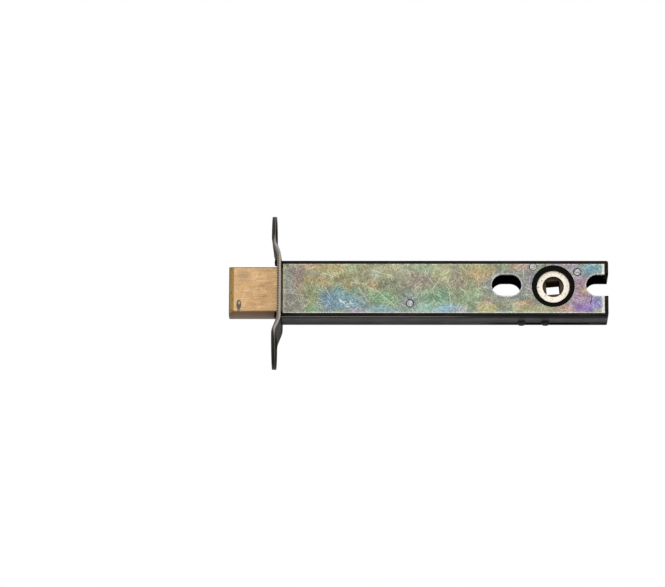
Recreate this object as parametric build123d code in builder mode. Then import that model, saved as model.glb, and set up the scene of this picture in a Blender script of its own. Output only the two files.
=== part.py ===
from build123d import *
import os
from math import atan2, cos, degrees, radians, sin, sqrt, tan

# Tubular deadbolt, in millimetres, shown with the bolt thrown.
# X runs along the case from the bolt's tip to the tail, Y along the spindle and Z up along the forend.
# The origin is midway between the forend's two screw holes, on the front plane of its ears.

# Follower and travel
throw = 14.2
follower_turn = 90.0
backset = 103.8
journal_radius = 6.2
journal_clearance = 0.05
hub_face_recess = 1.2
hub_back_recess = 0.2
hub_edge = 0.25
spindle_square = 5.1
spindle_lean = 5.0
spindle_recess_radius = 3.95
spindle_recess_depth = 1.5
back_recess_radius = 4.4
back_recess_depth = 2.7
neck_wall = 1.0
lever_thickness = 2.5
lever_room = 0.35
lever_past_pin = 1.15
tine_width = 1.5
fork_play = 0.65
pin_back_gap = 0.35
fork_web = 0.15
front_journal_length = 2.5
cam_corner_below_journal = 0.3

# Bushes
bush_wall = 1.65
bush_flange_rim = 0.55
bush_length = 2.6
bush_edge = 0.2
bush_fit = 0.05

# Case
tail_past_hub = 20.3
case_depth = 15.0
case_wall = 1.05
end_wall = 1.25
back_bend = 1.3
rim_round = 0.25
tail_corner = 0.9
flange_room = 0.15
rail_room = 0.25
sliding_gap = 0.3

# Tail strip and its pin
strip_thickness = 1.8
deep_height = 12.0
deep_bottom_step = 1.6
strip_corner = 1.0
rail_above_pin = 1.9
rail_below_pin = 3.0
rail_past_pin = 3.1
drive_pin_radius = 1.2

# Bolt head
bolt_projection = 16.0
head_length = 45.0
bolt_gap_above = 0.2
bolt_gap_beside = 0.25
bolt_arch = 0.95
bolt_edge = 0.25
tip_bevel_length = 1.5
tip_bevel_depth = 2.6
head_slot_depth = 12.0
head_slot_fit = 0.03
bolt_rivet_radius = 1.5
bolt_rivet_pitch = 5.5

# Pillars
rivet_fit = 0.02
pillar_radius = 1.15
guide_pillar_radius = 1.8
guide_behind_head = 7.8
guide_above_pin = 0.5
pillar_circle = 10.4
rear_pillar_angle = 31.0
pillar_sink = 0.1
rivet_mouth = 0.3

# Detent spring
spring_thickness = 0.5
spring_width = 2.4
spring_behind_cam_front = 0.4
spring_eye_turn = 230.0
spring_tail = 1.3
spring_contact_gap = 0.05

# Forend
forend_thickness = 1.5
forend_length = 57.7
forend_width = 25.0
forend_set_back = 2.0
flat_past_stake = 1.1
joggle_run = 5.2
joggle_round = 6.0
screw_spacing = 43.0
screw_hole_radius = 2.25
bolt_opening_gap = 0.3
tenon_width = 2.4
tenon_inset = 0.35
tenon_proud = 1.05
tenon_fit = 0.05
staked_spread = 0.35
staked_edge = 0.3

# Openings through the case
slot_length = 11.0
slot_height = 8.2
slot_ahead_of_hub = 17.2
openings_above_hub = 0.4
notch_height = 8.2
notch_depth = 8.2
slit_length = 24.0
slit_behind_hub = 1.6
slit_gap = 0.2

# Plate
plate_thickness = 1.05
plate_gap = 0.03
plate_front_gap = 0.4
plate_edge = 0.2

# Pips under the case
pip_radius = 1.45
pip_height = 1.2
pip_edge = 0.4
pip_inset = 0.15
pip_places = (-11.6, -2.8)

# Places across the case
half_turn = radians(follower_turn / 2)
drive_radius = throw / (2 * tan(half_turn))
bush_radius = journal_radius + journal_clearance + bush_wall
flange_radius = bush_radius + bush_flange_rim
hub_to_ceiling = flange_radius + flange_room
hub_to_floor = drive_radius + rail_below_pin + rail_room
ceiling = (hub_to_ceiling + hub_to_floor) / 2
case_top = ceiling + case_wall
hub_x = backset
hub_z = ceiling - hub_to_ceiling
front_face = -case_depth / 2
back_face = case_depth / 2
plate_inside = front_face + plate_thickness
back_inside = back_face - case_wall
lever_back = back_inside - lever_room
lever_front = lever_back - lever_thickness
strip_back = lever_front - sliding_gap
strip_front = strip_back - strip_thickness
neck_front = strip_front - sliding_gap
hub_front = front_face + hub_face_recess
hub_back = back_face - hub_back_recess
cam_front = hub_front + front_journal_length

# Places along the case
forend_back = forend_set_back + forend_thickness
case_length = backset + tail_past_hub
pin_x = hub_x - throw / 2
pin_z = hub_z - drive_radius
rail_top = pin_z + rail_above_pin
rail_bottom = pin_z - rail_below_pin
deep_top = rail_bottom + deep_height
deep_bottom = rail_bottom + deep_bottom_step
head_back = head_length - bolt_projection
strip_start = head_back - head_slot_depth
slot_x = hub_x - slot_ahead_of_hub
openings_z = hub_z + openings_above_hub
deep_end = slot_x - slot_length / 2 - throw - sliding_gap
notch_radius = notch_height / 2
notch_x = case_length - notch_depth + notch_radius
slit_x = hub_x + slit_behind_hub
pip_y = lever_front - slit_gap - pip_inset - pip_radius

# Pillars, and the leaf spring that lies under the upper two
guide_pillar_x = head_back + throw + guide_behind_head
guide_z = pin_z + guide_above_pin
guide_slot_radius = guide_pillar_radius + sliding_gap
front_pillar_z = ceiling - flange_room - pillar_radius
front_pillar_x = hub_x - sqrt(pillar_circle**2 - (front_pillar_z - hub_z) ** 2)
rear_pillar_x = hub_x + pillar_circle * cos(radians(rear_pillar_angle))
rear_pillar_z = hub_z + pillar_circle * sin(radians(rear_pillar_angle))
pillar_places = ((guide_pillar_x, guide_z), (front_pillar_x, front_pillar_z), (rear_pillar_x, rear_pillar_z))
leaf_slope = atan2(rear_pillar_z - front_pillar_z, rear_pillar_x - front_pillar_x)
leaf_offset = pillar_radius + spring_contact_gap + spring_thickness / 2
pillar_line_height = (front_pillar_z - hub_z) * cos(leaf_slope) - (front_pillar_x - hub_x) * sin(leaf_slope)
cam_flat = pillar_line_height - leaf_offset - spring_thickness / 2 - spring_contact_gap

# The bolt's section
bolt_half_height = ceiling - bolt_gap_above
bolt_half_width = -plate_inside - bolt_gap_beside
arch_radius = (bolt_half_width**2 + bolt_arch**2) / (2 * bolt_arch)

# Tenons of the case: the rear pair stands clear of the bends
front_tenon_y = front_face + tenon_inset + tenon_width / 2
back_tenon_y = back_face - back_bend - tenon_width / 2
tenon_z = ceiling + case_wall / 2
tenon_places = [(y, z) for y in (front_tenon_y, back_tenon_y) for z in (-tenon_z, tenon_z)]


def bolt_outline(gap):
    """Draws the bolt's section, flat at the sides and arched above and below, larger by the gap all round."""
    half_width = bolt_half_width + gap
    crown = bolt_half_height + gap
    corner = crown - arch_radius + sqrt(arch_radius**2 - half_width**2)
    with BuildLine() as outline:
        Line((-half_width, -corner), (-half_width, corner))
        ThreePointArc((-half_width, corner), (0, crown), (half_width, corner))
        Line((half_width, corner), (half_width, -corner))
        ThreePointArc((half_width, -corner), (0, -crown), (-half_width, -corner))
    make_face(outline.edges())


def case_openings():
    """Cuts the fixing slot and the tail notch, which line up in both sides of the case."""
    with BuildSketch(Plane.XZ) as openings:
        with Locations((slot_x, openings_z)):
            SlotOverall(slot_length, slot_height)
        with Locations((notch_x, openings_z)):
            Circle(notch_radius)
        with Locations((notch_x + notch_depth / 2, openings_z)):
            Rectangle(notch_depth, notch_height)
    extrude(openings.sketch, amount=case_depth, both=True, mode=Mode.SUBTRACT)


def round_stock(places, radius, start, end, mode=Mode.ADD):
    """Adds or cuts round stock along Y at each place (x, z), from start to end."""
    with BuildSketch(Plane.XZ.offset(-start)) as rounds:
        with Locations(*places):
            Circle(radius)
    extrude(rounds.sketch, amount=start - end, mode=mode)


def ring(radius, bore, start, end):
    """Adds a ring round the follower's axis, from start to end along Y."""
    with BuildSketch(Plane.XZ.offset(-start)) as ring_outline:
        with Locations((hub_x, hub_z)):
            Circle(radius)
            Circle(bore, mode=Mode.SUBTRACT)
    extrude(ring_outline.sketch, amount=start - end)


# Forend: a strip bent forwards at both ends and cut to its round-ended outline
with BuildPart() as forend:
    strip_middle = forend_set_back + forend_thickness / 2
    ear_middle = forend_thickness / 2
    joggle_in = case_top + staked_spread + flat_past_stake
    joggle_out = joggle_in + joggle_run
    with BuildSketch(Plane.XZ):
        with BuildLine():
            bend_line = FilletPolyline(
                (ear_middle, -forend_length / 2),
                (ear_middle, -joggle_out),
                (strip_middle, -joggle_in),
                (strip_middle, joggle_in),
                (ear_middle, joggle_out),
                (ear_middle, forend_length / 2),
                radius=joggle_round,
            )
            offset(bend_line, amount=forend_thickness / 2, side=Side.BOTH)
        make_face()
    extrude(amount=forend_width / 2, both=True)
    with BuildSketch(Plane.YZ):
        SlotOverall(forend_length, forend_width, rotation=90)
    extrude(amount=forend_back + forend_thickness, both=True, mode=Mode.INTERSECT)
    with BuildSketch(Plane.YZ):
        with GridLocations(0, screw_spacing, 1, 2):
            Circle(screw_hole_radius)
        bolt_outline(bolt_opening_gap)
        with Locations(*tenon_places):
            Rectangle(tenon_width + 2 * tenon_fit, case_wall + 2 * tenon_fit)
    extrude(amount=forend_back + forend_thickness, both=True, mode=Mode.SUBTRACT)
forend.part.label = "forend"

# Case channel: back, top and bottom bent from one blank, with the end wall and the staked tenons
with BuildPart() as case_channel:
    with BuildSketch(Plane.YZ.offset(forend_back)) as section:
        Rectangle(case_depth, 2 * case_top)
        fillet(section.vertices().group_by(Axis.X)[-1], back_bend)
        fillet(section.vertices().group_by(Axis.X)[0], rim_round)
    extrude(amount=case_length - forend_back)
    with BuildSketch(Plane.XZ) as side_outline:
        with Locations((forend_back, 0)):
            Rectangle(case_length - forend_back, 2 * case_top, align=(Align.MIN, Align.CENTER))
        fillet(side_outline.vertices().group_by(Axis.X)[-1], tail_corner)
    extrude(amount=case_depth, both=True, mode=Mode.INTERSECT)
    with BuildSketch(Plane.YZ.offset(forend_back)):
        with Locations((front_face, 0)):
            Rectangle(case_depth - case_wall, 2 * ceiling, align=(Align.MIN, Align.CENTER))
    extrude(amount=case_length - end_wall - forend_back, mode=Mode.SUBTRACT)
    with BuildSketch(Plane.YZ.offset(forend_back)):
        with Locations(*tenon_places):
            Rectangle(tenon_width, case_wall)
    extrude(amount=-forend_thickness)
    with BuildSketch(Plane.YZ.offset(forend_set_back)):
        with Locations(*tenon_places):
            Rectangle(tenon_width + 2 * staked_spread, case_wall + 2 * staked_spread)
    extrude(amount=-tenon_proud)
    chamfer(case_channel.faces().group_by(Axis.X)[0].edges(), staked_edge)
    case_openings()
    round_stock([(hub_x, hub_z)], bush_radius + bush_fit, back_inside, back_face, Mode.SUBTRACT)
    round_stock(pillar_places, pillar_radius + rivet_fit, back_inside, back_face, Mode.SUBTRACT)
    with BuildSketch(Plane.XY.offset(-case_top)):
        with Locations((slit_x, (lever_front + lever_back) / 2)):
            Rectangle(slit_length, lever_thickness + 2 * slit_gap)
    extrude(amount=case_wall, mode=Mode.SUBTRACT)
    with BuildSketch(Plane.XY.offset(-case_top)):
        with Locations(*[(hub_x + place, pip_y) for place in pip_places]):
            Circle(pip_radius)
    extrude(amount=-pip_height)
    chamfer(case_channel.faces().group_by(Axis.Z)[0].edges(), pip_edge)
case_channel.part.label = "case_channel"

# Cover plate, let in between the walls and held by the three pillars
with BuildPart() as cover_plate:
    plate_front = forend_back + plate_front_gap
    plate_length = case_length - end_wall - plate_gap - plate_front
    with BuildSketch(Plane.XZ.offset(-front_face)):
        with Locations((plate_front, 0)):
            Rectangle(plate_length, 2 * (ceiling - plate_gap), align=(Align.MIN, Align.CENTER))
    extrude(amount=-plate_thickness)
    chamfer(cover_plate.faces().sort_by(Axis.Y)[0].edges(), plate_edge)
    case_openings()
    round_stock([(hub_x, hub_z)], bush_radius + bush_fit, front_face, plate_inside, Mode.SUBTRACT)
    round_stock(pillar_places, pillar_radius + rivet_fit, front_face, plate_inside, Mode.SUBTRACT)
    pillar_mouths = cover_plate.faces().sort_by(Axis.Y)[0].inner_wires().edges().filter_by(
        lambda edge: edge.geom_type == GeomType.CIRCLE and edge.radius < 2 * pillar_radius
    )
    chamfer(pillar_mouths, rivet_mouth)
cover_plate.part.label = "cover_plate"

# Pillars riveted through both sides: the first has shoulders and guides the tail strip
with BuildPart() as guide_pillar:
    round_stock(pillar_places[:1], pillar_radius, front_face + pillar_sink, back_face - pillar_sink)
    round_stock(pillar_places[:1], guide_pillar_radius, plate_inside, back_inside)
guide_pillar.part.label = "guide_pillar"

with BuildPart() as spring_pillar_front:
    round_stock(pillar_places[1:2], pillar_radius, front_face + pillar_sink, back_face - pillar_sink)
spring_pillar_front.part.label = "spring_pillar_front"

with BuildPart() as spring_pillar_rear:
    round_stock(pillar_places[2:], pillar_radius, front_face + pillar_sink, back_face - pillar_sink)
spring_pillar_rear.part.label = "spring_pillar_rear"

# Nylon bushes: the front one has a thick flange behind the plate, the back one is a plain ring in the wall
with BuildPart() as front_bush:
    ring(bush_radius, journal_radius + journal_clearance, front_face, front_face + bush_length)
    ring(flange_radius, journal_radius + journal_clearance, plate_inside, front_face + bush_length)
    chamfer(front_bush.faces().sort_by(Axis.Y)[0].outer_wire().edges(), bush_edge)
front_bush.part.label = "front_bush"

with BuildPart() as back_bush:
    ring(bush_radius, journal_radius + journal_clearance, back_inside, back_face)
back_bush.part.label = "back_bush"

# Detent spring: a leaf under the upper pillars, its rear end curled into an eye round the rear one
with BuildPart() as detent_spring:
    down_x = leaf_offset * sin(leaf_slope)
    down_z = -leaf_offset * cos(leaf_slope)
    leaf_front = (
        front_pillar_x + down_x - spring_tail * cos(leaf_slope),
        front_pillar_z + down_z - spring_tail * sin(leaf_slope),
    )
    leaf_rear = (rear_pillar_x + down_x, rear_pillar_z + down_z)
    with BuildSketch(Plane.XZ.offset(-cam_front - spring_behind_cam_front)):
        with BuildLine():
            leaf = Line(leaf_front, leaf_rear)
            eye = CenterArc(
                (rear_pillar_x, rear_pillar_z), leaf_offset, degrees(leaf_slope) - 90, spring_eye_turn
            )
            offset([leaf, eye], amount=spring_thickness / 2, side=Side.BOTH)
        make_face()
    extrude(amount=-spring_width)
detent_spring.part.label = "detent_spring"

# Follower: one casting with two journals, a square cam with flats, a neck and a forked lever
with BuildPart() as follower:
    neck_radius = spindle_square / sqrt(2) + neck_wall
    fork_half_width = drive_pin_radius + fork_play
    fork_root = drive_radius - drive_pin_radius - pin_back_gap
    lever_tip = drive_radius / cos(half_turn) + lever_past_pin
    axis_place = (hub_x, hub_z)
    round_stock([axis_place], journal_radius, hub_front, cam_front)
    chamfer(follower.faces().sort_by(Axis.Y)[0].edges(), hub_edge)
    with BuildSketch(Plane.XZ.offset(-cam_front)):
        with Locations(axis_place):
            Circle(journal_radius - cam_corner_below_journal)
            Rectangle(2 * cam_flat, 2 * cam_flat, rotation=degrees(leaf_slope), mode=Mode.INTERSECT)
    extrude(amount=cam_front - neck_front)
    round_stock([axis_place], neck_radius, neck_front, lever_front)
    with BuildSketch(Plane.XZ.offset(-lever_front)):
        with Locations(Location((hub_x, hub_z, 0), (0, 0, 180 + follower_turn / 2))):
            Circle(lever_tip)
            Rectangle(
                lever_tip,
                2 * (fork_half_width + tine_width),
                align=(Align.MIN, Align.CENTER),
                mode=Mode.INTERSECT,
            )
            with Locations((fork_root, 0)):
                SlotOverall(
                    2 * lever_tip, 2 * fork_half_width, align=(Align.MIN, Align.CENTER), mode=Mode.SUBTRACT
                )
            Circle(fork_root - fork_web)
    extrude(amount=-lever_thickness)
    round_stock([axis_place], journal_radius, lever_back, hub_back)
    recess_floor = hub_front + spindle_recess_depth
    round_stock([axis_place], spindle_recess_radius, hub_front, recess_floor, Mode.SUBTRACT)
    round_stock([axis_place], back_recess_radius, hub_back - back_recess_depth, hub_back, Mode.SUBTRACT)
    with BuildSketch(Plane.XZ):
        with Locations(axis_place):
            Rectangle(spindle_square, spindle_square, rotation=spindle_lean)
    extrude(amount=case_depth, both=True, mode=Mode.SUBTRACT)
follower.part.label = "follower"

# Places of the cross rivets in the bolt head, in the middle of the strip's deep end
head_rivet_z = (deep_top + deep_bottom) / 2
head_rivet_x = strip_start + head_slot_depth / 2
head_rivet_places = [(head_rivet_x + side * bolt_rivet_pitch / 2, head_rivet_z) for side in (-1, 1)]

# Bolt head: arched bar, bevelled at the tip, sawn at its inner end for the strip
with BuildPart() as bolt_head:
    tip_x = -bolt_projection
    with BuildSketch(Plane.YZ.offset(tip_x)):
        bolt_outline(0)
    extrude(amount=head_length)
    chamfer(bolt_head.edges().filter_by(Axis.X), bolt_edge)
    chamfer(
        bolt_head.faces().sort_by(Axis.X)[0].edges().filter_by(Axis.Z),
        length=tip_bevel_length,
        length2=tip_bevel_depth,
    )
    with BuildSketch(Plane.XY):
        with Locations((strip_start - head_slot_fit, strip_front - head_slot_fit)):
            Rectangle(
                head_slot_depth + 2 * head_slot_fit,
                strip_thickness + 2 * head_slot_fit,
                align=(Align.MIN, Align.MIN),
            )
    extrude(amount=ceiling, both=True, mode=Mode.SUBTRACT)
    rivet_bore = bolt_rivet_radius + rivet_fit
    round_stock(head_rivet_places, rivet_bore, -bolt_half_width, bolt_half_width, Mode.SUBTRACT)
bolt_head.part.label = "bolt_head"

# Tail strip: deep behind the head, then a slim rail under the fixing slot to the drive pin
with BuildPart() as tail_bar:
    rail_end = pin_x + rail_past_pin
    step_in = head_back + strip_corner
    step_out = step_in + deep_bottom_step
    with BuildSketch(Plane.XZ.offset(-strip_front)) as strip_outline:
        with BuildLine():
            FilletPolyline(
                (strip_start, deep_top),
                (deep_end, deep_top),
                (deep_end, rail_top),
                (rail_end, rail_top),
                (rail_end, rail_bottom),
                (step_out, rail_bottom),
                (step_in, deep_bottom),
                (strip_start, deep_bottom),
                radius=strip_corner,
            )
            Line((strip_start, deep_bottom), (strip_start, deep_top))
        make_face()
        with Locations((guide_pillar_x - throw / 2, guide_z)):
            SlotOverall(throw + 2 * guide_slot_radius, 2 * guide_slot_radius, mode=Mode.SUBTRACT)
    extrude(amount=-strip_thickness)
    round_stock(head_rivet_places, rivet_bore, strip_front, strip_back, Mode.SUBTRACT)
    round_stock([(pin_x, pin_z)], drive_pin_radius + rivet_fit, strip_front, strip_back, Mode.SUBTRACT)
tail_bar.part.label = "tail_bar"

with BuildPart() as bolt_rivet_front:
    round_stock(head_rivet_places[:1], bolt_rivet_radius, -bolt_half_width, bolt_half_width)
bolt_rivet_front.part.label = "bolt_rivet_front"

with BuildPart() as bolt_rivet_rear:
    round_stock(head_rivet_places[1:], bolt_rivet_radius, -bolt_half_width, bolt_half_width)
bolt_rivet_rear.part.label = "bolt_rivet_rear"

with BuildPart() as drive_pin:
    round_stock([(pin_x, pin_z)], drive_pin_radius, strip_front, lever_back)
drive_pin.part.label = "drive_pin"

pieces = (
    forend,
    case_channel,
    cover_plate,
    guide_pillar,
    spring_pillar_front,
    spring_pillar_rear,
    front_bush,
    back_bush,
    detent_spring,
    follower,
    bolt_head,
    tail_bar,
    bolt_rivet_front,
    bolt_rivet_rear,
    drive_pin,
)
os.makedirs("parts", exist_ok=True)
for piece in pieces:
    export_step(piece.part, f"parts/{piece.part.label}.step")
print(f"hub at x {hub_x:.2f} z {hub_z:.2f}, case top {case_top:.2f}, bolt {2 * bolt_half_height:.2f} tall")
print(f"drive pin at x {pin_x:.2f} z {pin_z:.2f}, cam flats {cam_flat:.2f} from the axis")
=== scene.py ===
# %% [markdown]
# # A tubular deadbolt, dressed for its picture
#
# The lock is a long flat steel case with a round-eared front plate, called the forend. A brass bolt
# slides out through the forend when a square spindle turns the hub near the other end.
# Its parts were drawn in CAD and packed. This script loads them in place, and gives each part
# the finish that the real one has: a rainbow-tinted zinc plate, black steel, matte brass and black nylon.

# %% [markdown]
# ## Loading the frame
#
# Every part of this lock is a hard part with a known shape, so all of them come from the CAD model and
# none is modelled again here. The import puts each part where the drawing says.

# %% Load the imported lock
import math

import bpy
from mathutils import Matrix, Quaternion, Vector


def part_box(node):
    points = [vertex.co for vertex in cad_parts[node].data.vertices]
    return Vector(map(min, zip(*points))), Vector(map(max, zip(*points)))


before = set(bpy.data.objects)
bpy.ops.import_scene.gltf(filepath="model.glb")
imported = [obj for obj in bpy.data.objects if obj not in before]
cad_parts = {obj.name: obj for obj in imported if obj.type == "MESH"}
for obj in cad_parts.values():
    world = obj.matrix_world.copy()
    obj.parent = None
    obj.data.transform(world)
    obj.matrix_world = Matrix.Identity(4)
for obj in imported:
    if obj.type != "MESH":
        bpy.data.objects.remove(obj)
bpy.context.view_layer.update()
print("parts:", ", ".join(sorted(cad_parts)))

# %% [markdown]
# ## The camera
#
# The lock was photographed with a long lens from far off, so its outline hardly tapers. The camera
# stands below the lock, because the underside of the case and of the bolt both show, and a little to
# the right. It could be placed by its coordinates, but angles say more: how far below, how far to the
# side and how far away. The last number rolls it, which levels the long edges of the case.

# %% Place the camera
LOOKS_AT = Vector((0.0224, -0.0075, -0.0020))
DISTANCE = 1.67
BELOW = math.radians(14.2)
TO_THE_RIGHT = math.radians(1.2)
ROLL = math.radians(0.315)
SENSOR_WIDTH = 36
LENS_LENGTH = 245.06

outwards = Vector((
    math.sin(TO_THE_RIGHT) * math.cos(BELOW),
    -math.cos(TO_THE_RIGHT) * math.cos(BELOW),
    -math.sin(BELOW),
))
camera = bpy.data.objects.new("camera", bpy.data.cameras.new("camera"))
camera.location = LOOKS_AT + outwards * DISTANCE
camera.rotation_mode = "QUATERNION"
camera.rotation_quaternion = (-outwards).to_track_quat("-Z", "Y") @ Quaternion((0, 0, 1), ROLL)
camera.data.sensor_width = SENSOR_WIDTH
camera.data.lens = LENS_LENGTH
camera.data.clip_start = 0.05
bpy.context.scene.collection.objects.link(camera)
bpy.context.scene.camera = camera
bpy.context.scene.view_settings.view_transform = "Standard"
print("camera at", [round(c, 3) for c in camera.location])

# %% [markdown]
# ## White surroundings
#
# The background is plain white paper. If the world were white for every ray, it would light the lock
# from all sides and wash its colours out. The Light Path node tells the rays apart: rays that come
# straight from the camera, leave shiny metal or pass through glass find white, and all the others
# find a softer grey that lights the lock gently.

# %% Tell the rays apart
def finds_white(tree):
    """1 for a ray from the camera, off shiny metal or through glass, and 0 for every other ray."""
    rays = tree.nodes.new("ShaderNodeLightPath")
    found = rays.outputs["Is Camera Ray"]
    for kind in ("Is Glossy Ray", "Is Transmission Ray"):
        larger = tree.nodes.new("ShaderNodeMath")
        larger.operation = "MAXIMUM"
        tree.links.new(found, larger.inputs[0])
        tree.links.new(rays.outputs[kind], larger.inputs[1])
        found = larger.outputs[0]
    return found


# %% Paint the world
ROOM_LIGHT = 0.5

world = bpy.data.worlds.new("white room")
world.use_nodes = True
bpy.context.scene.world = world
tree = world.node_tree
sky = tree.nodes["Background"]
sky.inputs["Color"].default_value = (1, 1, 1, 1)
white_or_soft = tree.nodes.new("ShaderNodeMapRange")
tree.links.new(finds_white(tree), white_or_soft.inputs["Value"])
white_or_soft.inputs["To Min"].default_value = ROOM_LIGHT
white_or_soft.inputs["To Max"].default_value = 1
tree.links.new(white_or_soft.outputs["Result"], sky.inputs["Strength"])
print("room light:", ROOM_LIGHT, "and white where it is seen")

# %% [markdown]
# ## The floor
#
# The floor lies well below the lock, under the camera, so that it never cuts into the view from
# underneath. It is grey paper, so that it throws little light up at the lock. Most of what the camera
# sees of it is a white of its own, which runs into the background without a line. It is one face of
# four corners, all that a flat sheet needs, and it isn't part of the lock.

# %% Lay the floor
FLOOR_HEIGHT = -0.5
FLOOR_REACH = 8.0
FLOOR_WHITE = 0.85

corners = [(-1, -1), (1, -1), (1, 1), (-1, 1)]
sheet = bpy.data.meshes.new("floor")
places = [(x * FLOOR_REACH, y * FLOOR_REACH, FLOOR_HEIGHT) for x, y in corners]
sheet.from_pydata(places, [], [(0, 1, 2, 3)])
floor = bpy.data.objects.new("floor", sheet)
bpy.context.scene.collection.objects.link(floor)

paper = bpy.data.materials.new("paper")
paper.use_nodes = True
tree = paper.node_tree
matt = tree.nodes["Principled BSDF"]
matt.inputs["Base Color"].default_value = (0.35, 0.35, 0.35, 1)
matt.inputs["Roughness"].default_value = 0.9
glow = tree.nodes.new("ShaderNodeEmission")
share = tree.nodes.new("ShaderNodeMath")
share.operation = "MULTIPLY"
share.inputs[1].default_value = FLOOR_WHITE
blend = tree.nodes.new("ShaderNodeMixShader")
tree.links.new(finds_white(tree), share.inputs[0])
tree.links.new(share.outputs[0], blend.inputs[0])
tree.links.new(matt.outputs[0], blend.inputs[1])
tree.links.new(glow.outputs[0], blend.inputs[2])
tree.links.new(blend.outputs[0], tree.nodes["Material Output"].inputs["Surface"])
sheet.materials.append(paper)
print("floor at", FLOOR_HEIGHT, "m")

# %% [markdown]
# ## The lamps
#
# Product pictures are lit by large soft boxes. Two area lamps do the same: a wide one above and in
# front for the main light, and a weaker one from the other side, so that no edge is lost in the dark.
# Their power is low enough that a grey card in front of the lock would render as grey as it is.

# %% Hang the soft boxes
MIDDLE_OF_LOCK = Vector((0.055, 0, 0))
soft_boxes = {
    "main_box": {"place": (-0.50, -1.30, 0.95), "size": 1.0, "power": 10.5},
    "side_box": {"place": (1.30, -0.90, 0.25), "size": 0.8, "power": 4.0},
}
for name, box in soft_boxes.items():
    lamp = bpy.data.lights.new(name, "AREA")
    lamp.shape = "SQUARE"
    lamp.size = box["size"]
    lamp.energy = box["power"]
    hung = bpy.data.objects.new(name, lamp)
    hung.location = box["place"]
    aim = MIDDLE_OF_LOCK - hung.location
    hung.rotation_mode = "QUATERNION"
    hung.rotation_quaternion = aim.to_track_quat("-Z", "Y")
    bpy.context.scene.collection.objects.link(hung)
    print(name, "at", round(aim.length, 2), "m, power", box["power"], "W")

# %% [markdown]
# ## A small workbench for finishes
#
# Each finish is a tree of nodes that ends in one Principled shader. The same few steps come back in
# every tree: take the place on the part in millimetres, make a noise, fade it, lay one colour over
# another. The class below gives each of these steps a short name. All places are the part's own
# coordinates, so a stain stays on the part when it moves or when the camera does.

# %% Colours as the eye names them
def paint(red, green, blue):
    """A colour as it looks on a screen, 0 to 255, as the linear numbers that shaders use."""
    linear = []
    for level in (red, green, blue):
        level = level / 255
        linear.append(level / 12.92 if level <= 0.04045 else ((level + 0.055) / 1.055) ** 2.4)
    return (*linear, 1)


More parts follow.
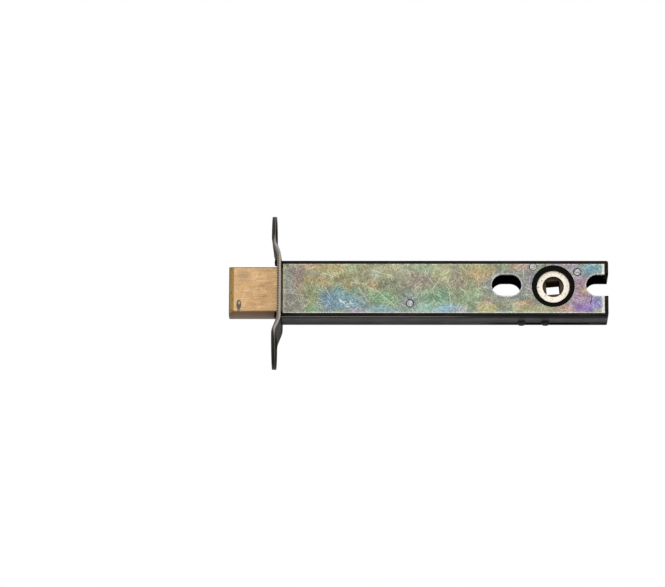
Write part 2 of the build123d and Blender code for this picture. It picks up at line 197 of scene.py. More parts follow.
# %% The finish and its basic nodes
class Finish:
    """One finish: its material, its shader, and short names for the nodes that feed it."""

    def __init__(self, name):
        self.material = bpy.data.materials.new(name)
        self.material.use_nodes = True
        self.tree = self.material.node_tree
        self.shader = self.tree.nodes["Principled BSDF"]
        place = self.node("TexCoord").outputs["Object"]
        self.mm = self.node("VectorMath", {0: place, "Scale": 1000}, operation="SCALE").outputs[0]

    def feed(self, socket, value):
        """Gives a socket a plain value, or links another node's output to it."""
        if isinstance(value, bpy.types.NodeSocket):
            self.tree.links.new(value, socket)
        else:
            socket.default_value = value

    def node(self, kind, inputs=None, **settings):
        """A new node, with its settings made and its inputs fed."""
        made = self.tree.nodes.new("ShaderNode" + kind)
        for setting, value in settings.items():
            setattr(made, setting, value)
        for socket, value in (inputs or {}).items():
            self.feed(made.inputs[socket], value)
        return made

    def maths(self, operation, a, b=0.0):
        """One step of arithmetic, such as ADD or SUBTRACT."""
        return self.node("Math", {0: a, 1: b}, operation=operation).outputs[0]

    def vectors(self, operation, a, b, output=0):
        """One step of arithmetic with two places or directions."""
        return self.node("VectorMath", {0: a, 1: b}, operation=operation).outputs[output]

    def both(self, first, *others):
        """Several shares multiplied: high only where all of them are."""
        for other in others:
            first = self.maths("MULTIPLY", first, other)
        return first

    def either(self, first, *others):
        """The largest of several shares: high where any of them is."""
        for other in others:
            first = self.maths("MAXIMUM", first, other)
        return first

    def fade(self, value, start, end, low=0.0, high=1.0):
        """low where value is at start, high where it is at end, and a smooth change between."""
        made = self.node("MapRange", {0: value, 1: start, 2: end, 3: low, 4: high})
        made.interpolation_type = "SMOOTHSTEP"
        return made.outputs[0]

    def band(self, value, fades_in, fades_out):
        """1 between two places, where value fades in over the first pair and out over the second."""
        return self.both(self.fade(value, *fades_in), self.fade(value, *fades_out))

    def over(self, under, upper, amount, mode="MIX"):
        """The colour upper laid over the colour under."""
        made = self.node("Mix", data_type="RGBA", blend_type=mode)
        for socket, value in ((0, amount), (6, under), (7, upper)):
            self.feed(made.inputs[socket], value)
        return made.outputs[2]

    def coats(self, under, *coats):
        """Several colours laid over the colour under, one after another, each with its amount."""
        for upper, amount in coats:
            under = self.over(under, upper, amount)
        return under

    def axis(self, letter):
        """The place along X, Y or Z in millimetres."""
        return self.node("SeparateXYZ", {0: self.mm}).outputs["XYZ".index(letter)]

    def stretched(self, length=(1, 1, 1), turn=0.0, shift=(0, 0, 0), place=None):
        """The place, turned about Y in degrees and then divided by a length along each axis."""
        made = self.node("Mapping", vector_type="TEXTURE")
        self.feed(made.inputs["Vector"], self.mm if place is None else place)
        made.inputs["Location"].default_value = shift
        made.inputs["Rotation"].default_value = (0, math.radians(turn), 0)
        made.inputs["Scale"].default_value = length
        return made.outputs[0]

    def noise(self, place=None, scale=1.0, detail=2.0, roughness=0.5):
        """A soft random pattern from 0 to 1, with scale features in each millimetre."""
        settings = {"Scale": scale, "Detail": detail, "Roughness": roughness}
        return self.node("TexNoise", {"Vector": self.mm if place is None else place, **settings}).outputs[0]

    def tints(self, scale):
        """A soft random colour, which serves as a random direction too."""
        return self.node("TexNoise", {"Vector": self.mm, "Scale": scale, "Detail": 2.0}).outputs[1]

    def oval(self, x, z, reach, rise, place=None):
        """How far out in an oval round (x, z): 0 at its middle and 1 at its rim, at every depth."""
        offset = self.vectors("SUBTRACT", self.mm if place is None else place, (x, 0, z))
        share = self.vectors("MULTIPLY", offset, (1 / reach, 0, 1 / rise))
        return self.vectors("LENGTH", share, (0, 0, 0), "Value")

    def bump(self, height, depth, strength):
        """Tilts the shading as if the surface rose by depth, in metres, where height is 1."""
        made = self.node("Bump", {"Height": height, "Distance": depth, "Strength": strength})
        self.feed(self.shader.inputs["Normal"], made.outputs[0])

    def wear(self, **sockets):
        """Feeds the shader's own sockets: a name such as base_color stands for Base Color."""
        names = {"base_color": "Base Color", "specular": "Specular IOR Level"}
        for name, value in sockets.items():
            self.feed(self.shader.inputs[names.get(name, name.capitalize())], value)


# %% [markdown]
# ## The tinted plate: its colours
#
# The cover plate is zinc plated and dipped, which leaves a clear film of uneven thickness. Light
# that bounces off both sides of such a film shows the colours of an oil spill. They depend on the
# thickness, so each colour runs softly into the next: straw, rose, violet, blue, green and back.
# Blender has a thin film of its own in its shader, but there the colours change with the view and
# can't be placed. Here each cloud of colour is an ellipse with a soft edge, with its place in
# millimetres, and a noise bends all of the edges so that no ellipse can be seen.

# %% The film's colours
film = {
    "cream": paint(205, 204, 182),
    "white": paint(224, 224, 216),
    "pale": paint(168, 182, 166),
    "grey": paint(127, 126, 122),
    "slate": paint(120, 132, 130),
    "mauve": paint(131, 114, 108),
    "khaki": paint(140, 136, 102),
    "olive": paint(130, 128, 90),
    "moss": paint(118, 134, 96),
    "gold": paint(160, 148, 94),
    "straw": paint(164, 162, 116),
    "ochre": paint(150, 129, 90),
    "peach": paint(190, 152, 118),
    "rose": paint(164, 134, 132),
    "dusk": paint(132, 126, 136),
    "heather": paint(146, 116, 146),
    "lilac": paint(150, 139, 162),
    "violet": paint(142, 112, 174),
    "indigo": paint(124, 130, 182),
    "blue": paint(92, 128, 150),
    "cyan": paint(116, 158, 172),
    "teal": paint(104, 138, 122),
    "green": paint(104, 148, 110),
    "leaf": paint(142, 168, 132),
    "mint": paint(152, 186, 170),
    "sky": paint(138, 178, 200),
    "maize": paint(184, 176, 124),
    "shade": paint(106, 112, 90),
}
print(len(film), "film colours")

# %% Where each cloud of colour lies
# Each cloud: its colour, its centre along the plate and up it, half its length and height, its strength.
clouds = [
    ("slate", 100.0, 0.0, 24.0, 30.0, 0.6),
    ("teal", 56.0, -6.4, 30.0, 8.0, 0.6),
    ("pale", 56.0, 6.0, 24.0, 8.0, 0.3),
    ("grey", 6.4, 0.0, 3.2, 20.0, 0.95),
    ("mauve", 10.2, 4.8, 2.6, 8.0, 0.9),
    ("grey", 10.4, -6.0, 2.8, 4.8, 0.8),
    ("gold", 22.0, 8.0, 6.6, 2.8, 0.75),
    ("peach", 14.6, 8.6, 4.0, 2.4, 0.95),
    ("grey", 15.6, 5.0, 3.4, 1.5, 0.5),
    ("ochre", 16.6, 2.4, 6.8, 1.9, 0.95),
    ("olive", 26.0, 3.4, 7.4, 3.6, 0.7),
    ("moss", 15.8, -2.4, 4.6, 4.4, 0.75),
    ("teal", 27.0, -1.8, 9.5, 3.2, 0.9),
    ("green", 15.6, -7.8, 4.4, 2.4, 0.7),
    ("blue", 22.6, -5.0, 6.2, 6.0, 0.85),
    ("cyan", 27.6, -5.6, 4.4, 3.4, 0.5),
    ("blue", 30.0, -6.6, 7.6, 3.8, 0.75),
    ("ochre", 28.4, 0.4, 3.0, 1.3, 0.6),
    ("leaf", 29.6, 7.4, 2.6, 2.6, 0.45),
    ("pale", 38.2, 6.0, 3.8, 2.2, 0.45),
    ("ochre", 38.6, 1.1, 4.4, 2.2, 0.8),
    ("shade", 44.2, 1.6, 5.2, 4.2, 0.95),
    ("gold", 43.0, 7.0, 4.6, 3.0, 0.3),
    ("green", 41.4, -3.6, 6.6, 3.2, 0.85),
    ("moss", 45.8, -3.4, 3.6, 3.4, 0.6),
    ("lilac", 31.8, -9.2, 5.4, 1.8, 0.8),
    ("cyan", 41.0, -8.6, 8.0, 2.2, 0.85),
    ("slate", 50.4, -5.2, 4.8, 6.0, 0.95),
    ("leaf", 55.5, 8.2, 6.4, 2.2, 0.8),
    ("mauve", 54.4, 3.2, 8.0, 4.6, 0.65),
    ("green", 61.6, -3.6, 6.6, 3.2, 0.6),
    ("teal", 62.8, -3.4, 3.0, 3.6, 0.5),
    ("mint", 57.2, -7.8, 5.6, 3.0, 0.85),
    ("straw", 62.8, 5.8, 3.4, 3.4, 0.6),
    ("mauve", 68.0, 3.6, 4.8, 4.6, 0.55),
    ("sky", 64.8, -8.2, 6.4, 2.9, 0.9),
    ("lilac", 70.0, -8.8, 3.8, 2.0, 0.6),
    ("leaf", 73.2, -2.8, 6.4, 4.4, 0.55),
    ("gold", 76.4, 6.6, 7.2, 4.2, 0.65),
    ("peach", 77.4, 4.6, 5.0, 3.2, 0.5),
    ("maize", 80.4, -7.4, 4.8, 3.0, 0.9),
    ("rose", 80.0, -4.4, 2.6, 1.4, 0.5),
    ("slate", 79.8, 1.2, 2.8, 5.0, 0.6),
    ("leaf", 86.2, 8.6, 3.4, 1.7, 0.7),
    ("cyan", 85.6, -8.8, 4.4, 1.6, 0.6),
    ("peach", 91.0, 8.0, 3.4, 2.2, 0.6),
    ("rose", 93.2, 7.6, 3.0, 2.8, 0.7),
    ("dusk", 95.4, 2.8, 3.6, 6.4, 0.8),
    ("peach", 93.4, -5.8, 4.4, 1.7, 0.75),
    ("straw", 97.0, -8.4, 13.0, 2.1, 0.85),
    ("rose", 108.4, -8.2, 5.0, 2.4, 0.85),
    ("dusk", 113.6, 3.6, 4.6, 5.0, 0.6),
    ("heather", 114.6, -2.4, 6.2, 6.0, 0.95),
    ("heather", 113.4, 3.0, 3.4, 3.4, 0.6),
    ("lilac", 108.4, 9.2, 5.4, 2.2, 0.95),
    ("heather", 109.4, 8.6, 3.2, 2.0, 0.8),
    ("lilac", 112.4, 7.6, 3.4, 3.4, 0.85),
    ("cyan", 118.4, 7.2, 5.2, 3.6, 1.0),
    ("heather", 107.4, 9.4, 4.2, 1.5, 0.6),
    ("peach", 109.2, -7.4, 4.6, 1.6, 0.6),
    ("peach", 114.9, -0.6, 2.8, 2.2, 0.85),
    ("maize", 115.6, -0.4, 1.7, 1.9, 0.7),
    ("violet", 116.0, -7.2, 7.0, 3.2, 1.0),
    ("indigo", 120.4, -5.2, 3.2, 4.6, 0.9),
]
print(len(clouds), "clouds of colour")

# %% [markdown]
# ## The tinted plate: its scratches
#
# Loose in a box with others, the plate has picked up thousands of hair-fine scratches, most of them
# paler than the film that they cut. Drawing each would take long. A Voronoi texture scatters one
# point at random in every cell of a grid. If the grid is stretched a lot along one direction, the
# spot round each point becomes a long thin line. Several such layers at different turns make the
# web. A few scratches that stand out are drawn one by one, each as the distance to a straight line.

# %% Scattered hairlines, and single scratches
def hairlines(finish, turn, length, spacing, reach, shift, rarity):
    """Short straight lines in one direction, scattered at random and of random strength."""
    place = finish.stretched((length, 1, spacing), turn, (shift, 0, shift))
    parts = finish.node("SeparateXYZ", {0: place})
    flat = finish.node("CombineXYZ", {0: parts.outputs["X"], 1: parts.outputs["Z"]}).outputs[0]
    spots = finish.node("TexVoronoi", {"Vector": flat, "Scale": 1.0}, voronoi_dimensions="2D")
    chance = finish.node("SeparateColor", {0: spots.outputs["Color"]}).outputs[0]
    line = finish.fade(spots.outputs["Distance"], reach, reach * 0.4)
    return finish.both(line, finish.fade(chance, rarity, 1.0))


def scratch(finish, place, start, end, width):
    """1 on the line from start to end, both (x, z) in millimetres, and 0 beside it."""
    middle = ((start[0] + end[0]) / 2, (start[1] + end[1]) / 2)
    run = (end[0] - start[0], end[1] - start[1])
    length = math.hypot(*run)
    turn = -math.degrees(math.atan2(run[1], run[0]))
    place = finish.stretched((length / 2, 1, width), turn, (middle[0], 0, middle[1]), place)
    parts = finish.node("SeparateXYZ", {0: place})
    beside = finish.fade(finish.maths("ABSOLUTE", parts.outputs["Z"]), 1.0, 0.2)
    beyond = finish.fade(finish.maths("ABSOLUTE", parts.outputs["X"]), 1.0, 0.7)
    return finish.both(beside, beyond)


# Each scratch that stands out: its two ends and its half width, in millimetres.
pale_scratches = [
    ((6.4, -6.6), (9.8, -4.2), 0.12),
    ((8.1, -2.1), (12.1, -2.8), 0.12),
    ((12.8, 7.0), (16.6, 8.5), 0.14),
    ((17.8, 5.8), (23.1, 4.4), 0.12),
    ((19.1, 0.8), (22.1, -3.2), 0.12),
    ((20.4, 3.2), (24.8, 5.6), 0.10),
    ((25.2, -4.0), (26.3, -5.6), 0.28),
    ((26.0, -5.0), (27.6, -5.4), 0.24),
    ((27.2, -6.9), (28.9, -7.2), 0.24),
    ((28.8, -4.9), (29.3, -6.2), 0.20),
    ((25.6, -4.2), (27.4, -6.6), 0.20),
    ((27.0, -6.4), (31.0, -5.6), 0.13),
    ((28.5, 2.6), (35.5, 1.1), 0.13),
    ((31.6, 0.8), (36.6, -6.0), 0.12),
    ((22.8, 0.6), (27.6, 2.4), 0.10),
    ((36.8, 0.8), (38.4, 4.8), 0.13),
    ((37.8, -0.6), (46.0, -7.0), 0.16),
    ((37.6, 7.2), (46.0, 3.6), 0.12),
    ((36.0, 5.2), (43.4, 4.6), 0.10),
    ((55.1, 0.4), (55.3, -3.8), 0.13),
    ((56.4, 6.4), (59.4, 2.2), 0.10),
    ((58.9, -1.0), (61.9, 4.4), 0.14),
    ((62.0, 4.8), (64.8, 7.4), 0.14),
    ((65.6, 0.0), (65.7, -8.8), 0.15),
    ((69.2, 0.4), (72.0, -2.1), 0.15),
    ((71.8, -6.1), (71.9, -8.8), 0.14),
    ((73.2, -4.6), (77.4, 0.6), 0.10),
    ((82.4, 6.9), (81.0, 3.4), 0.12),
    ((92.8, 8.0), (93.2, 4.2), 0.10),
    ((93.4, -2.5), (95.8, -2.4), 0.12),
    ((119.0, -7.9), (120.9, -9.4), 0.16),
]
dark_scratch = ((118.25, -2.6), (117.7, -6.6), 0.2)
print(len(pale_scratches), "single scratches")

# %% [markdown]
# ## The tinted plate: putting it together
#
# The order follows the real dip: metal first, then the clouds of film, then the fine crystal mottle
# of the zinc. Over these come painted light and shade: pale rims round the openings and pale edges
# round the plate as painted highlights, and dark rings round the rivets as painted shade. The scratches
# come last, on top, with a few painted glints among them. The shader is half metal, so that it stays
# bright from every side and still shows its colours.

# %% Mix the plate's finish
plate = Finish("tinted_zinc")


def swayed(place, scale, reach):
    """The place, pushed at random by up to reach millimetres, with scale pushes in each millimetre."""
    push = plate.vectors("SUBTRACT", plate.tints(scale), (0.5, 0.5, 0.5))
    push = plate.node("VectorMath", {0: push, "Scale": reach * 2}, operation="SCALE").outputs[0]
    return plate.vectors("ADD", place, push)


cloud_places = swayed(swayed(plate.mm, 0.22, 3.0), 1.3, 1.1)
scratch_places = swayed(plate.mm, 0.18, 1.0)
colour = film["khaki"]
for tint, x, z, reach, rise, strength in clouds:
    cloud = plate.fade(plate.oval(x, z, reach, rise, cloud_places), 1.25, 0.2, 0.0, strength)
    colour = plate.over(colour, film[tint], cloud)

# %% The fine crystals of the zinc
broad = plate.noise(scale=0.3, detail=3, roughness=0.6)
crystal = plate.noise(scale=2.4, detail=3, roughness=0.75)
colour = plate.over(colour, plate.tints(1.1), 0.06, "SOFT_LIGHT")
broad_light = plate.fade(broad, 0.3, 0.7, 0.83, 1.04)
lightness = plate.maths("ADD", broad_light, plate.fade(crystal, 0.3, 0.7, -0.23, 0.2))
grey_level = plate.node("CombineColor", {0: lightness, 1: lightness, 2: lightness}).outputs[0]
colour = plate.over(colour, grey_level, 1.0, "MULTIPLY")


# %% Round the openings and the rivets
def from_slot(x, z, half_run):
    """The distance in millimetres from a short level line with its middle at (x, z)."""
    along = plate.maths("ABSOLUTE", plate.maths("SUBTRACT", plate.axis("X"), x))
    past_end = plate.either(plate.maths("SUBTRACT", along, half_run), 0.0)
    above = plate.maths("SUBTRACT", plate.axis("Z"), z)
    offset = plate.node("CombineXYZ", {0: past_end, 1: above}).outputs[0]
    return plate.vectors("LENGTH", offset, (0, 0, 0), "Value")


OPENING_RADIUS = 4.1
OPENING_Z = 1.275
from_fixing_slot = from_slot(86.6, OPENING_Z, 1.4)
from_tail_notch = from_slot(125.0, OPENING_Z, 5.0)
halo = plate.fade(from_fixing_slot, OPENING_RADIUS + 3.0, OPENING_RADIUS + 0.3, 0.0, 0.6)
colour = plate.over(colour, paint(118, 129, 124), halo)
# Painted highlight: a pale rim round the fixing slot and the tail notch, where their edges would catch the
# light.
for away in (from_fixing_slot, from_tail_notch):
    rim = plate.fade(away, OPENING_RADIUS + 0.5, OPENING_RADIUS + 0.25, 0.0, 0.7)
    colour = plate.over(colour, paint(188, 180, 186), rim)
# Painted shade: a dark ring round each rivet, where the gap round its head lies in shade.
for pillar in ("guide_pillar", "spring_pillar_front", "spring_pillar_rear"):
    low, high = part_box(pillar)
    away = from_slot((low.x + high.x) * 500, (low.z + high.z) * 500, 0.0)
    colour = plate.over(colour, paint(46, 44, 48), plate.fade(away, 1.8, 1.4, 0.0, 0.9))

# %% Pale edges of the plate: a painted highlight
low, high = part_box("cover_plate")
from_left = plate.maths("SUBTRACT", plate.axis("X"), low.x * 1000)
from_right = plate.maths("SUBTRACT", high.x * 1000, plate.axis("X"))
from_below = plate.maths("SUBTRACT", plate.axis("Z"), low.z * 1000)
from_above = plate.maths("SUBTRACT", high.z * 1000, plate.axis("Z"))
# Painted highlight: a pale, ragged rim along the edges of the plate, where its edges would catch the light.
ragged = plate.fade(plate.noise(scale=0.8, detail=2), 0.3, 0.7, -0.35, 0.35)
for inset, width, strength, tint, roughly in (
    (from_left, 1.3, 0.75, "cream", 1.0),
    (from_right, 1.45, 0.85, "white", 0.5),
    (from_above, 0.5, 0.5, "cream", 1.0),
):
    ragged_inset = plate.maths("ADD", inset, plate.both(ragged, roughly))
    plate_edge_highlight = plate.fade(ragged_inset, width, width * 0.5, 0.0, strength)
    colour = plate.over(colour, film[tint], plate_edge_highlight)
colour = plate.over(colour, film["white"], plate.fade(from_below, 0.55, 0.3, 0.0, 0.75))

# %% Scratches, and painted glints, over everything
# Each web: its turn in degrees, its lines' length and spacing in millimetres, the share of a cell that
# a line fills, its shift, and the share of cells left empty. The last three webs are short painted
# glints, bright specks of highlight rather than scratches.
pale_webs = [
    (24, 14.0, 0.60, 0.22, 11, 0.1),
    (-38, 12.0, 0.60, 0.22, 23, 0.1),
    (63, 12.0, 0.60, 0.22, 37, 0.1),
    (-72, 9.0, 0.55, 0.22, 41, 0.1),
    (4, 12.0, 0.60, 0.20, 59, 0.1),
    (48, 6.0, 0.55, 0.22, 67, 0.1),
    (-16, 6.0, 0.55, 0.22, 83, 0.1),
    (82, 4.0, 0.50, 0.24, 91, 0.1),
    (15, 1.2, 0.80, 0.24, 5, 0.5),
    (-50, 1.6, 0.80, 0.24, 17, 0.5),
    (70, 2.0, 0.70, 0.24, 29, 0.5),
]
dark_webs = [(-52, 5.0, 0.80, 0.22, 97, 0.1), (36, 5.0, 0.80, 0.22, 103, 0.1)]

for web in dark_webs:
    colour = plate.over(colour, paint(150, 148, 140), plate.both(hairlines(plate, *web), 0.5), "MULTIPLY")
busy = plate.fade(plate.noise(scale=0.3, detail=2), 0.35, 0.62, 0.65, 1.0)
# The pale webs hold both the scratches and the painted glints.
fine = plate.both(plate.either(*[hairlines(plate, *web) for web in pale_webs]), busy)
colour = plate.over(colour, paint(184, 184, 176), fine, "DODGE")
colour = plate.over(colour, paint(142, 142, 126), fine, "SCREEN")
single = plate.either(*[scratch(plate, scratch_places, *drawn) for drawn in pale_scratches])
single = plate.both(single, plate.fade(crystal, 0.35, 0.6, 0.45, 1.0))
colour = plate.over(colour, paint(222, 230, 208), single)
colour = plate.over(colour, paint(44, 34, 46), scratch(plate, scratch_places, *dark_scratch))

# %% Feed the plate's shader
relief = plate.maths("SUBTRACT", plate.both(crystal, 0.4), plate.both(fine, 0.3))
plate.bump(relief, 0.00004, 0.25)
plate.wear(
    base_color=colour,
    metallic=0.5,
    roughness=plate.fade(crystal, 0.3, 0.7, 0.36, 0.5),
    specular=0.4,
)
print("tinted zinc:", len(plate.tree.nodes), "nodes")

# %% [markdown]
# ## Black steel
#
# The case and the forend are pressed from sheet and blackened. Such a finish isn't one black: it is
# greyer where it was handled and browner in places, with fine lines from rolling along the sheet.
# The specular level is low, because the rough oxide mirrors little. A shader makes any smooth face a
# mirror at a flat glance, which would paint the white room on the ears, so there it falls to nothing.

# %% Mix the black
def black_steel(name, roll_turn=0.0):
    """Blackened sheet steel, with its rolling lines turned about Y: its finish, tone and gloss."""
    black = Finish(name)
    handled = black.noise(scale=0.09, detail=4, roughness=0.6)
    grain = black.noise(black.stretched((14, 1, 0.35), roll_turn), 1.0, 3.0, 0.6)
    specks = black.noise(scale=3.0, detail=2)
    tone = black.coats(
        paint(20, 19, 17),
        (paint(44, 41, 38), black.fade(handled, 0.35, 0.65)),
        (paint(62, 60, 59), black.fade(grain, 0.5, 0.75, 0.0, 0.7)),
        (paint(12, 11, 11), black.fade(specks, 0.6, 0.75, 0.0, 0.5)),
    )
    black.bump(black.maths("ADD", grain, specks), 0.00002, 0.5)
    glance = black.node("LayerWeight", {"Blend": 0.5}).outputs["Facing"]
    gloss = black.fade(glance, 0.8, 0.95, 0.1, 0.0)
    black.wear(roughness=black.fade(handled, 0.3, 0.7, 0.5, 0.6), specular=gloss)
    return black, tone, gloss


# %% [markdown]
# ## The case's edges and its underside
#
# The case is folded from one sheet. Under its front edge a thin bright line along the fold is a
# painted highlight, with a dark line of painted shade beside it and a paler band of painted light
# behind that. From there the black darkens towards the back, as painted shade. The painted highlight
# fades out in the rear half. The tenons that are staked through the forend and the cut faces in the
# tail's notch are painted near black as shade and lose their gloss. The lines under the front are told
# by how far a point lies behind the front, so that they follow the fold.

# %% Places on the case
NOTCH_Z = 1.3

case_black, tone, gloss = black_steel("black_case")
low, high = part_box("case_channel")
case_start, case_end = low.x * 1000, high.x * 1000
along = case_black.axis("X")
from_front = case_black.maths("SUBTRACT", case_black.axis("Y"), low.y * 1000)
underneath = case_black.fade(case_black.axis("Z"), -10.2, -10.4)
front_edge = case_black.fade(from_front, 0.2, 0.05)
rolled_edge = case_black.both(underneath, case_black.fade(from_front, 1.0, 0.8))
# Painted highlight: a thin bright line along the rounded fold under the front edge, fading out at the rear.
fold_highlight = case_black.both(
    underneath,
    case_black.band(from_front, (0.8, 1.0), (1.7, 1.5)),
    case_black.band(along, (case_start + 2.4, case_start + 2.8), (80, 56)),
)
# Painted shade: a dark line beside the painted highlight, and in the rear part a dark strip just behind the
# front, where the highlight is gone.
dark_front_right = case_black.both(case_black.fade(along, 66, 80), case_black.fade(from_front, 3.7, 3.3))
dark_line = case_black.either(case_black.band(from_front, (1.6, 1.9), (3.7, 3.3)), dark_front_right)
dark_line = case_black.both(underneath, dark_line)
# Painted light: a paler band under the case, behind the dark line.
lit_below = case_black.both(underneath, case_black.band(from_front, (3.3, 3.8), (11.5, 4.5)))
# Painted shade: the underside darkens towards the back, and more so under the tail.
to_back = case_black.fade(from_front, 6.0, 14.0, 0.0, 0.7)
tail_shade = case_black.both(
    case_black.fade(along, 74, 84, 0.0, 0.85),
    case_black.fade(from_front, 8.0, 11.0),
)
# Painted shade: the staked tenons and the cut faces in the tail's notch are painted near black.
stakes = case_black.fade(along, case_start + 2.4, case_start + 2.0)
from_notch = case_black.maths("SUBTRACT", case_black.axis("Z"), NOTCH_Z)
in_notch = case_black.both(
    case_black.fade(along, case_end - 1.6, case_end - 1.4),
    case_black.fade(case_black.maths("ABSOLUTE", from_notch), 4.4, 4.2),
)
print("case from", round(case_start, 1), "to", round(case_end, 1), "mm")

# %% Lay the tones on the case
rolled = case_black.noise(case_black.stretched((9, 2.4, 1.6)), 1.0, 2.0, 0.6)
# Over the sheet's own rolling marks, these coats paint shade on the notch, the stakes, the dark line, the
# back and the tail, light on the band below, and a highlight along the fold.
tone = case_black.coats(
    tone,
    (paint(6, 6, 6), in_notch),
    (paint(96, 92, 90), case_black.fade(rolled, 0.5, 0.66, 0.0, 0.6)),
    (paint(9, 8, 8), case_black.fade(rolled, 0.48, 0.34, 0.0, 0.8)),
    (paint(10, 9, 8), stakes),
    (paint(12, 11, 10), case_black.both(case_black.either(front_edge, rolled_edge), 0.7)),
    (paint(128, 124, 122), case_black.both(lit_below, 0.35)),
    (paint(10, 9, 9), case_black.both(dark_line, 0.8)),
    (paint(12, 11, 11), to_back),
    (paint(10, 9, 9), tail_shade),
    (paint(220, 214, 208), fold_highlight),
)
# The places painted as shade lose their gloss as well.
matt = case_black.either(
    in_notch,
    stakes,
    case_black.both(dark_line, 0.7),
    case_black.both(to_back, 0.45),
    tail_shade,
)
gloss = case_black.both(gloss, case_black.maths("SUBTRACT", 1.0, matt))
case_black.wear(base_color=tone, specular=gloss)
print("black case:", len(case_black.tree.nodes), "nodes")

# %% [markdown]
# ## The forend's sheared edge
#
# The forend is the same black sheet, but its long edges show how it was cut. The punch rolls the
# front third of the edge over and tears the rest. A pale line along the edge, toward its back, is a
# painted highlight, and where the ears are bent forward, it follows the bend. Beside the bolt the
# edge's shear ribs are painted brown, a painted reflection of the brass. The sloping fronts of the
# ears carry a grey painted sheen, and the middle, which is set back between them, is painted near
# black as shade.

# %% Places on the forend
forend_black, tone, _ = black_steel("black_forend", 90)
low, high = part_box("forend")
rise = forend_black.maths("ABSOLUTE", forend_black.axis("Z"))
front = forend_black.fade(rise, 11.8, 17.1, 2.0, 0.0)
wander = forend_black.fade(forend_black.noise(scale=0.5, detail=2), 0.3, 0.7, -0.05, 0.05)
depth = forend_black.maths("SUBTRACT", forend_black.axis("X"), front)
depth = forend_black.maths("ADD", depth, wander)
# Painted highlight: a pale line along the back part of the sheared edge, following the bend of the ears.
edge_highlight = forend_black.both(
    forend_black.band(depth, (0.65, 0.85), (1.5, 1.35)),
    forend_black.fade(rise, 20.0, 15.0),
)
torn = forend_black.both(forend_black.fade(depth, 1.1, 1.25), forend_black.fade(rise, 15.0, 19.0))
normal = forend_black.node("TexCoord").outputs["Normal"]
facing = forend_black.node("SeparateXYZ", {0: normal}).outputs["X"]
on_edge = forend_black.fade(forend_black.maths("ABSOLUTE", facing), 0.6, 0.3)
behind = forend_black.fade(facing, 0.3, 0.7)
# Painted sheen: the sloping fronts of the ears are painted grey, as if catching the light.
slope_sheen = forend_black.both(
    forend_black.band(rise, (10.9, 12.2), (19.0, 16.5)),
    forend_black.fade(facing, 0.1, -0.3),
)
# Painted shade: the set-back middle of the front is painted near black.
middle = forend_black.both(forend_black.fade(facing, -0.3, -0.7), forend_black.fade(rise, 13.0, 11.5))
print("forend from", round(low.z * 1000, 1), "to", round(high.z * 1000, 1), "mm")

# %% The sheared edge, from the ears to the ribbed middle
RADIANS_IN_A_MM = 6.6

wave = forend_black.maths("MULTIPLY", forend_black.axis("Z"), RADIANS_IN_A_MM)
ribs = forend_black.maths("SINE", wave)
# The shear ribs are the edge's own; their brown is a painted reflection of the brass bolt beside them.
ribs_and_brass_reflection = forend_black.over(paint(98, 84, 64), paint(150, 136, 112), forend_black.fade(ribs, -0.6, 0.6))
edge_tone = forend_black.coats(
    tone,
    (paint(62, 59, 54), 0.45),
    (paint(138, 135, 128), forend_black.fade(rise, 18.0, 14.5, 0.0, 0.85)),
    (ribs_and_brass_reflection, forend_black.fade(rise, 12.5, 9.5)),
    (paint(112, 109, 104), torn),
    (paint(190, 184, 175), edge_highlight),
)

# %% Lay the tones on the forend
tone = forend_black.coats(
    tone,
    (paint(96, 94, 90), forend_black.both(slope_sheen, 0.8)),
    (edge_tone, on_edge),
    (paint(30, 24, 19), forend_black.both(behind, 0.8)),
    (paint(9, 8, 7), middle),
)
forend_black.wear(base_color=tone)
print("black forend:", len(forend_black.tree.nodes), "nodes")

# %% [markdown]
# ## The brass bolt
#
# The bolt is a brass extrusion, sawn and tumbled, so it is matt tan and not yellow and shiny.
# Fine drawing lines run along it. The end that meets the strike is tinted a darker olive, a painted
# reflection on its bevel, with a few dings, and there is one grey ding low on the flat. The underside
# is painted a darker brown as shade. The lines are a noise stretched along X.

# %% Mix the brass
brass = Finish("matt_brass")
drawn_lines = brass.noise(brass.stretched((7, 1, 0.22)), 1.0, 3.0, 0.65)
cloudy = brass.noise(scale=0.22, detail=4, roughness=0.6)
pores = brass.noise(scale=3.0, detail=2, roughness=0.7)
tan = brass.coats(
    paint(214, 170, 118),
    (paint(238, 199, 146), brass.fade(cloudy, 0.3, 0.7)),
    (paint(168, 128, 90), brass.fade(drawn_lines, 0.5, 0.7, 0.0, 0.95)),
    (paint(252, 222, 176), brass.fade(drawn_lines, 0.45, 0.25, 0.0, 0.85)),
    (paint(152, 114, 82), brass.fade(pores, 0.55, 0.7, 0.0, 0.6)),
    (paint(255, 228, 180), brass.fade(pores, 0.42, 0.3, 0.0, 0.6)),
)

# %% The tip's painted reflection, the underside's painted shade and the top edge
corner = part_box("bolt_head")[0]
tip_x, bolt_front = corner.x * 1000, corner.y * 1000
from_tip = brass.maths("SUBTRACT", brass.axis("X"), tip_x)
dings = brass.both(
    brass.fade(brass.noise(scale=0.9, detail=2), 0.6, 0.66),
    brass.fade(from_tip, 2.1, 1.4),
)
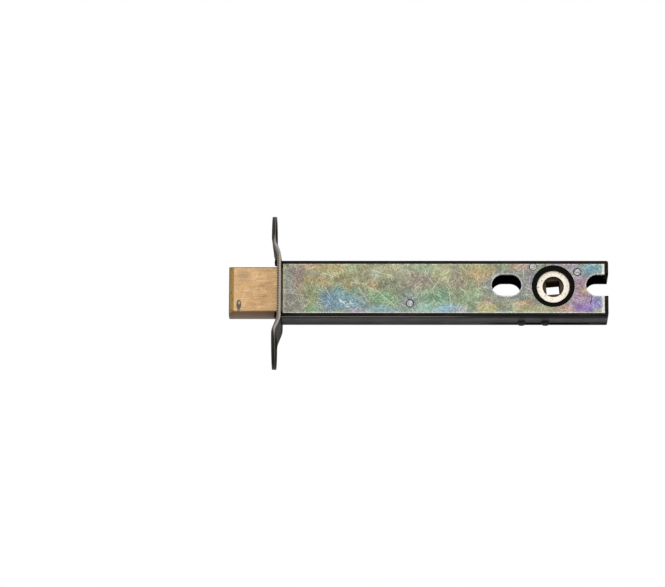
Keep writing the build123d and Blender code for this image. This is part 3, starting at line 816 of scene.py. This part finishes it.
# Painted shade: the underside is painted a darker brown, redder towards the front.
underside_shade = brass.over(paint(140, 92, 54), paint(132, 108, 90), brass.fade(brass.axis("Y"), -5.5, -1.0))
top_edge = brass.both(
    brass.fade(brass.axis("Z"), 7.9, 8.15, 0.0, 0.85),
    brass.fade(brass.axis("Y"), bolt_front + 1.8, bolt_front + 0.9),
)
tan = brass.coats(
    tan,
    # Painted reflection: the tip is tinted a darker olive, as its bevel would mirror another part of the
    # room.
    (paint(168, 134, 64), brass.fade(from_tip, 2.1, 1.8)),
    (paint(96, 62, 22), dings),
    (underside_shade, brass.fade(brass.axis("Z"), -8.2, -8.5, 0.0, 0.9)),
    (paint(104, 80, 44), brass.fade(from_tip, 0.45, 0.2, 0.0, 0.8)),
    (paint(96, 82, 66), top_edge),
)
print("tip of the bolt at", round(tip_x, 1), "mm")

# %% The grey ding low on the flat
on_front = brass.fade(brass.axis("Y"), bolt_front + 0.6, bolt_front + 0.2)
ding = brass.both(brass.fade(brass.oval(-12.2, -5.9, 0.95, 2.0), 1.1, 0.8), on_front)
grain = brass.both(brass.fade(brass.oval(-12.1, -5.2, 0.5, 0.8), 1.0, 0.5), on_front)
tail = brass.both(brass.fade(brass.oval(-12.3, -7.6, 0.6, 1.6), 1.2, 0.5, 0.0, 0.8), on_front)
dull = brass.fade(brass.oval(-10.4, 5.0, 3.6, 3.0), 1.1, 0.2, 0.0, 0.4)
tan = brass.coats(
    tan,
    (paint(150, 128, 106), dull),
    (paint(128, 114, 100), tail),
    (paint(104, 90, 78), ding),
    (paint(176, 166, 154), grain),
)
relief = brass.maths("SUBTRACT", brass.both(drawn_lines, 0.5), ding)
brass.bump(relief, 0.00008, 0.6)
brass.wear(base_color=tan, metallic=0.3, roughness=0.5, specular=0.3)
print("matt brass:", len(brass.tree.nodes), "nodes")

# %% [markdown]
# ## The hub, its bearings and the small steel parts
#
# The hub is cast zinc, faced bright, with a few tiny pits. It turns in two black nylon rings.
# The rivets are plain steel, set bright by the punch. The parts inside hardly show, but they are
# finished too, because the slot and the spindle hole give a glimpse of them.

# %% Cast zinc with pits
zinc = Finish("cast_zinc")
sandy = zinc.noise(scale=1.4, detail=3)
cast = zinc.over(paint(250, 236, 216), paint(255, 250, 238), zinc.fade(sandy, 0.3, 0.7))
pits = hairlines(zinc, 20, 1.7, 1.4, 0.22, 7, 0.1)
cast = zinc.over(cast, paint(134, 118, 98), pits)
low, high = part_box("follower")
face, back = low.y * 1000, high.y * 1000
off_back = zinc.fade(zinc.axis("Y"), back - 0.1, back - 0.3)
inside = zinc.both(zinc.fade(zinc.axis("Y"), face + 0.15, face + 0.6), off_back)
deep = zinc.both(zinc.fade(zinc.axis("Y"), face + 1.4, face + 1.6), off_back)
# Painted shade: inside the hub's recess the cast is painted dark, darker still deeper down.
cast = zinc.coats(cast, (paint(84, 73, 58), inside), (paint(84, 70, 48), deep))
relief = zinc.maths("SUBTRACT", zinc.both(sandy, 0.4), zinc.both(pits, 0.6))
zinc.bump(relief, 0.00005, 0.5)
zinc.wear(
    base_color=cast,
    metallic=zinc.both(zinc.maths("SUBTRACT", 1.0, inside), 0.5),
    roughness=zinc.fade(sandy, 0.3, 0.7, 0.32, 0.46),
    specular=zinc.both(zinc.maths("SUBTRACT", 1.0, deep), 0.3),
)
print("cast zinc:", len(zinc.tree.nodes), "nodes")

# %% Black nylon
nylon = Finish("black_nylon")
moulded = nylon.noise(scale=1.2, detail=3)
nylon_tone = nylon.over(paint(5, 5, 3), paint(13, 12, 9), nylon.fade(moulded, 0.3, 0.7))
nylon.bump(moulded, 0.00002, 0.4)
nylon.wear(base_color=nylon_tone, roughness=nylon.fade(moulded, 0.3, 0.7, 0.4, 0.55), specular=0.05)
print("black nylon:", len(nylon.tree.nodes), "nodes")


# %% Plain metals, light to dark
def plain_metal(name, light, dark, stretch, roughness):
    """A metal with soft streaks between two tones."""
    metal = Finish(name)
    streaks = metal.noise(metal.stretched(stretch), 1.0, 3.0, 0.6)
    tone = metal.over(light, dark, metal.fade(streaks, 0.4, 0.62))
    metal.bump(streaks, 0.00003, 0.4)
    metal.wear(base_color=tone, metallic=0.8, roughness=roughness, specular=0.4)
    print(name + ":", len(metal.tree.nodes), "nodes")
    return metal


rivet_steel = plain_metal("rivet_steel", paint(200, 201, 200), paint(124, 125, 127), (0.45, 0.45, 0.45), 0.36)
spring_steel = plain_metal("spring_steel", paint(96, 100, 112), paint(60, 62, 70), (6, 1, 1), 0.3)
strip_steel = plain_metal("strip_steel", paint(150, 148, 142), paint(110, 108, 104), (12, 1, 0.5), 0.42)
rivet_brass = plain_metal("brass_rivet", paint(214, 176, 120), paint(170, 132, 82), (0.8, 0.8, 0.8), 0.4)

# %% [markdown]
# ## Dressing the parts
#
# A CAD part keeps its mesh, so its finish goes into the material slot that it already has.

# %% Put each finish on its parts
dress = {
    "forend": forend_black,
    "case_channel": case_black,
    "cover_plate": plate,
    "guide_pillar": rivet_steel,
    "spring_pillar_front": rivet_steel,
    "spring_pillar_rear": rivet_steel,
    "front_bush": nylon,
    "back_bush": nylon,
    "detent_spring": spring_steel,
    "bolt_head": brass,
    "tail_bar": strip_steel,
    "bolt_rivet_front": rivet_brass,
    "bolt_rivet_rear": rivet_brass,
    "drive_pin": rivet_steel,
    "follower": zinc,
}
for part, finish in dress.items():
    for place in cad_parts[part].material_slots:
        place.material = finish.material
print("dressed:", len(dress), "of", len(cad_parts), "parts")
